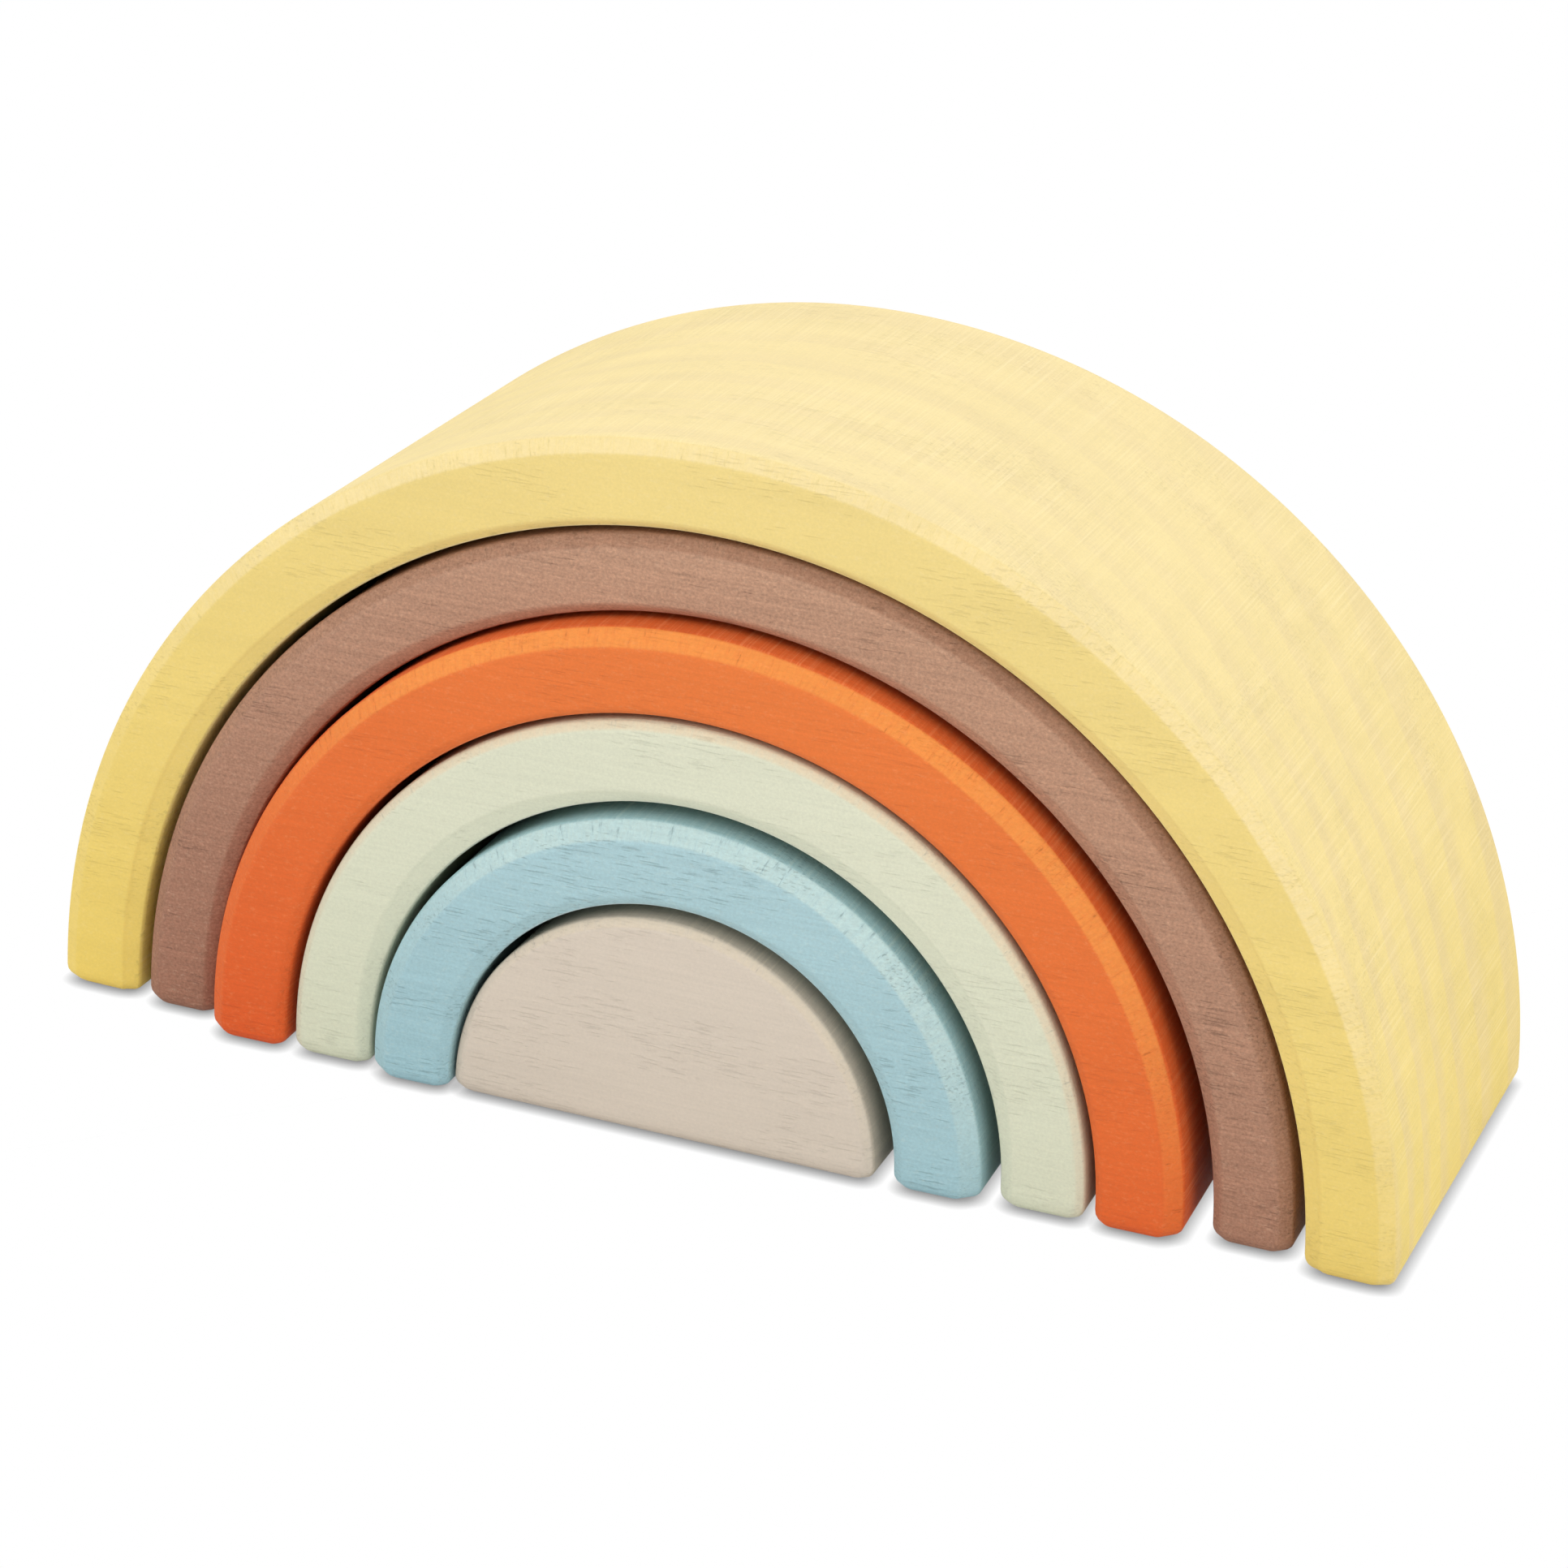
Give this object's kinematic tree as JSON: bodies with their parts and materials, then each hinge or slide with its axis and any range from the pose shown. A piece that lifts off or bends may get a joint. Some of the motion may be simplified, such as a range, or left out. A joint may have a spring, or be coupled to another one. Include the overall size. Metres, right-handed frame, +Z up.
{
  "type": "rainbow stacker",
  "caption": "Wooden nesting rainbow: painted half-round arches stand loose inside one another around a solid half disc, and each one slides out to be stacked or lined up.",
  "frame": {"origin": "on the table under the middle of the yellow arch, half-way between its front and its back", "axes": "+X to the right along the front of the yellow arch, +Y from its front to its back, +Z up"},
  "size_m": [0.2, 0.0757, 0.0993],
  "materials": {
    "yellow_paint": "matt paint with the grain showing",
    "brown_paint": "matt paint with the grain showing",
    "orange_paint": "matt paint with the grain showing",
    "mint_paint": "matt paint with the grain showing",
    "blue_paint": "matt paint with the grain showing",
    "cream_paint": "matt paint with the grain showing"
  },
  "bodies": {
    "yellow": {"yellow_arch": "yellow_paint"},
    "brown": {"brown_arch": "brown_paint"},
    "orange": {"orange_arch": "orange_paint"},
    "mint": {"mint_arch": "mint_paint"},
    "blue": {"blue_arch": "blue_paint"},
    "half_disc": {"cream_half_disc": "cream_paint"}
  },
  "joints": [
    {"name": "brown_slide", "type": "slide", "parent": "yellow", "child": "brown", "axis": [0, 1, 0], "range_m": [-0.075, 0.075]},
    {"name": "orange_slide", "type": "slide", "parent": "brown", "child": "orange", "axis": [-0.0199, 0.9998, 0], "range_m": [-0.075, 0.075]},
    {"name": "mint_slide", "type": "slide", "parent": "orange", "child": "mint", "axis": [-0.033, 0.9995, 0], "range_m": [-0.075, 0.075]},
    {"name": "blue_slide", "type": "slide", "parent": "mint", "child": "blue", "axis": [-0.0314, 0.9995, 0], "range_m": [-0.075, 0.075]},
    {"name": "half_disc_slide", "type": "slide", "parent": "blue", "child": "half_disc", "axis": [-0.036, 0.9994, 0], "range_m": [-0.075, 0.075]}
  ]
}
